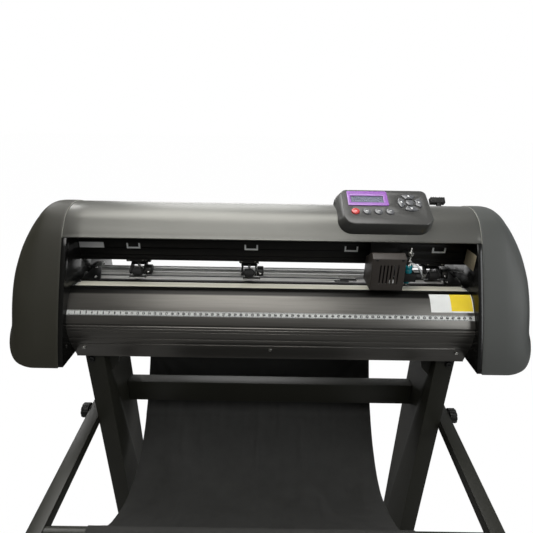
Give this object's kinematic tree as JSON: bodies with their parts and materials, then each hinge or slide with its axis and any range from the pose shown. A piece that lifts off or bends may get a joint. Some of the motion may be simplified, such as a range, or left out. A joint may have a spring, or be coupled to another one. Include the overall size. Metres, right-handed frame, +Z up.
{
  "type": "vinyl cutter",
  "caption": "Floor-standing roll vinyl cutter: tapered end covers, curved hood, cutting carriage on a beam, pinch rollers, tilted keypad, two-leg stand and a cloth catch basket.",
  "frame": {"origin": "on the floor, under the centre of the stand's footprint", "axes": "+X to the operator's right along the machine, +Y away from the operator, +Z up"},
  "size_m": [0.92, 0.54, 1.0209],
  "materials": {
    "belt_rubber": "moulded",
    "bezel_purple": "printed gloss",
    "black_anodised": "black anodised",
    "black_plastic": "moulded",
    "board_green": "solder mask",
    "carriage_plastic": "fine texture",
    "chrome_part": "polished",
    "cloth_black": "woven nylon",
    "cover_left_plastic": "fine texture, satin",
    "cover_right_plastic": "fine texture, satin",
    "cutting_plastic": "satin",
    "dark_sheet": "powder coat",
    "foot_rubber": "moulded",
    "holder_teal": "anodised look",
    "hood_coat": "satin powder coat",
    "key_grey": "gloss",
    "key_red": "gloss",
    "lcd_face": "display glass",
    "mark_white": "moulded",
    "platen_grey": "satin anodised",
    "pod_plastic": "fine texture",
    "roller_rubber": "moulded",
    "ruler_print": "printed strip",
    "stand_coat": "powder coat",
    "steel": "brushed"
  },
  "bodies": {
    "frame": {"base_pan": "dark_sheet", "catch_cloth": "cloth_black", "cloth_rail": "stand_coat", "cross_beam": "stand_coat", "cutting_strip": "cutting_plastic", "drive_belts": "belt_rubber", "end_cover_left": "cover_left_plastic", "end_cover_right": "cover_right_plastic", "fasteners": "chrome_part", "front_apron": "black_anodised", "gantry_beam": "black_anodised", "guide_rail": "steel", "hood": "hood_coat", "lcd_bezel": "bezel_purple", "lcd_screen": "lcd_face", "levelling_feet": "foot_rubber", "main_board": "board_green", "platen_deck": "platen_grey", "pod_housing": "pod_plastic", "position_marks": "mark_white", "power_supply": "steel", "ruler_strip": "ruler_print", "shaft_bearings": "steel", "side_plates": "dark_sheet", "stand_legs": "stand_coat", "stepper_motors": "black_plastic"},
    "carriage": {"carriage_block": "black_anodised", "carriage_cover": "carriage_plastic"},
    "tool": {"tool_clamp": "black_plastic", "blade_holder": "holder_teal"},
    "blade": {"blade_tip": "steel"},
    "clamp_screw": {"clamp_knob": "black_plastic"},
    "x_drive": {"x_drive_pulley": "steel"},
    "x_idler": {"x_idler_pulley": "steel"},
    "grit": {"grit_shaft": "steel"},
    "feed_motor": {"y_motor_pulley": "steel"},
    "lift": {"lift_shaft": "steel", "lift_lever": "black_plastic"},
    "switch": {"power_switch": "black_plastic"},
    "catch": {"catch_frame": "stand_coat"},
    "knob_left": {"arm_knob_left": "black_plastic"},
    "knob_right": {"arm_knob_right": "black_plastic"},
    "carrier_left": {"pinch_bracket_left": "black_anodised"},
    "arm_left": {"pinch_arm_left": "dark_sheet"},
    "roller_left": {"pinch_roller_left": "roller_rubber"},
    "carrier_mid": {"pinch_bracket_mid": "black_anodised"},
    "arm_mid": {"pinch_arm_mid": "dark_sheet"},
    "roller_mid": {"pinch_roller_mid": "roller_rubber"},
    "carrier_right": {"pinch_bracket_right": "black_anodised"},
    "arm_right": {"pinch_arm_right": "dark_sheet"},
    "roller_right": {"pinch_roller_right": "roller_rubber"},
    "start_button": {"start_key": "key_red"},
    "menu_button": {"menu_key": "key_grey"},
    "test_button": {"test_key": "key_grey"},
    "pause_button": {"pause_key": "key_grey"},
    "up_button": {"up_key": "key_grey"},
    "down_button": {"down_key": "key_grey"},
    "left_button": {"left_key": "key_grey"},
    "right_button": {"right_key": "key_grey"},
    "enter_button": {"enter_key": "key_grey"}
  },
  "joints": [
    {"name": "carriage_slide", "type": "slide", "parent": "frame", "child": "carriage", "axis": [1, 0, 0], "range_m": [-0.525, 0.08]},
    {"name": "tool_lift", "type": "slide", "parent": "carriage", "child": "tool", "axis": [0, 0, -1], "range_m": [0, 0.004]},
    {"name": "blade_swivel", "type": "hinge", "parent": "tool", "child": "blade", "pos_m": [0.244, -0.013, 0.875], "axis": [0, 0, 1], "continuous": true},
    {"name": "clamp_turn", "type": "hinge", "parent": "tool", "child": "clamp_screw", "pos_m": [0.263, -0.013, 0.883], "axis": [1, 0, 0], "range_deg": [0, 270]},
    {"name": "x_drive_spin", "type": "hinge", "parent": "frame", "child": "x_drive", "pos_m": [0.388, 0.015, 0.9595], "axis": [0, 0, 1], "continuous": true},
    {"name": "x_idler_spin", "type": "hinge", "parent": "frame", "child": "x_idler", "pos_m": [-0.388, 0.015, 0.9595], "axis": [0, 0, 1], "continuous": true},
    {"name": "grit_spin", "type": "hinge", "parent": "frame", "child": "grit", "pos_m": [0, 0.031, 0.8475], "axis": [1, 0, 0], "continuous": true},
    {"name": "feed_motor_spin", "type": "hinge", "parent": "frame", "child": "feed_motor", "pos_m": [0.424, 0.031, 0.7875], "axis": [1, 0, 0], "continuous": true},
    {"name": "pinch_slide_left", "type": "slide", "parent": "frame", "child": "carrier_left", "axis": [1, 0, 0], "range_m": [-0.058, 0.11]},
    {"name": "pinch_lift_left", "type": "hinge", "parent": "carrier_left", "child": "arm_left", "pos_m": [-0.256, 0.059, 0.881], "axis": [-1, 0, 0], "range_deg": [0, 14.2]},
    {"name": "pinch_spin_left", "type": "hinge", "parent": "arm_left", "child": "roller_left", "pos_m": [-0.256, 0.031, 0.86515], "axis": [1, 0, 0], "continuous": true},
    {"name": "pinch_slide_mid", "type": "slide", "parent": "frame", "child": "carrier_mid", "axis": [1, 0, 0], "range_m": [-0.055, 0.165]},
    {"name": "pinch_lift_mid", "type": "hinge", "parent": "carrier_mid", "child": "arm_mid", "pos_m": [-0.043, 0.059, 0.881], "axis": [-1, 0, 0], "range_deg": [0, 14.2]},
    {"name": "pinch_spin_mid", "type": "hinge", "parent": "arm_mid", "child": "roller_mid", "pos_m": [-0.043, 0.031, 0.86515], "axis": [1, 0, 0], "continuous": true},
    {"name": "pinch_slide_right", "type": "slide", "parent": "frame", "child": "carrier_right", "axis": [1, 0, 0], "range_m": [-0.14, 0.005]},
    {"name": "pinch_lift_right", "type": "hinge", "parent": "carrier_right", "child": "arm_right", "pos_m": [0.309, 0.059, 0.881], "axis": [-1, 0, 0], "range_deg": [0, 14.2]},
    {"name": "pinch_spin_right", "type": "hinge", "parent": "arm_right", "child": "roller_right", "pos_m": [0.309, 0.031, 0.86515], "axis": [1, 0, 0], "continuous": true},
    {"name": "lift_turn", "type": "hinge", "parent": "frame", "child": "lift", "pos_m": [0.347, 0.073, 0.892], "axis": [-1, 0, 0], "range_deg": [0, 40]},
    {"name": "start_press", "type": "slide", "parent": "frame", "child": "start_button", "axis": [0, 0.4863, -0.8738], "range_m": [0, 0.0012]},
    {"name": "menu_press", "type": "slide", "parent": "frame", "child": "menu_button", "axis": [0, 0.4863, -0.8738], "range_m": [0, 0.0012]},
    {"name": "test_press", "type": "slide", "parent": "frame", "child": "test_button", "axis": [0, 0.4863, -0.8738], "range_m": [0, 0.0012]},
    {"name": "pause_press", "type": "slide", "parent": "frame", "child": "pause_button", "axis": [0, 0.4863, -0.8738], "range_m": [0, 0.0012]},
    {"name": "up_press", "type": "slide", "parent": "frame", "child": "up_button", "axis": [0, 0.4863, -0.8738], "range_m": [0, 0.0012]},
    {"name": "down_press", "type": "slide", "parent": "frame", "child": "down_button", "axis": [0, 0.4863, -0.8738], "range_m": [0, 0.0012]},
    {"name": "left_press", "type": "slide", "parent": "frame", "child": "left_button", "axis": [0, 0.4863, -0.8738], "range_m": [0, 0.0012]},
    {"name": "right_press", "type": "slide", "parent": "frame", "child": "right_button", "axis": [0, 0.4863, -0.8738], "range_m": [0, 0.0012]},
    {"name": "enter_press", "type": "slide", "parent": "frame", "child": "enter_button", "axis": [0, 0.4863, -0.8738], "range_m": [0, 0.0012]},
    {"name": "power_rock", "type": "hinge", "parent": "frame", "child": "switch", "pos_m": [0.4165, 0.153, 0.79], "axis": [1, 0, 0], "range_deg": [0, 12]},
    {"name": "catch_fold", "type": "hinge", "parent": "frame", "child": "catch", "pos_m": [0, -0.02, 0.568], "axis": [1, 0, 0], "range_deg": [0, 55]},
    {"name": "knob_turn_left", "type": "hinge", "parent": "frame", "child": "knob_left", "pos_m": [-0.38, -0.02, 0.568], "axis": [1, 0, 0], "range_deg": [0, 360]},
    {"name": "knob_turn_right", "type": "hinge", "parent": "frame", "child": "knob_right", "pos_m": [0.38, -0.02, 0.568], "axis": [1, 0, 0], "range_deg": [0, 360]}
  ],
  "couplings": [
    {"joint": "x_drive_spin", "follows": "carriage_slide", "rad_per_m": 147.06},
    {"joint": "x_idler_spin", "follows": "carriage_slide", "rad_per_m": 147.06},
    {"joint": "feed_motor_spin", "follows": "grit_spin", "ratio": 2.9318},
    {"joint": "pinch_spin_left", "follows": "grit_spin", "ratio": -1.1875},
    {"joint": "pinch_lift_left", "follows": "lift_turn", "ratio": 0.35},
    {"joint": "pinch_spin_mid", "follows": "grit_spin", "ratio": -1.1875},
    {"joint": "pinch_lift_mid", "follows": "lift_turn", "ratio": 0.35},
    {"joint": "pinch_spin_right", "follows": "grit_spin", "ratio": -1.1875},
    {"joint": "pinch_lift_right", "follows": "lift_turn", "ratio": 0.35}
  ]
}
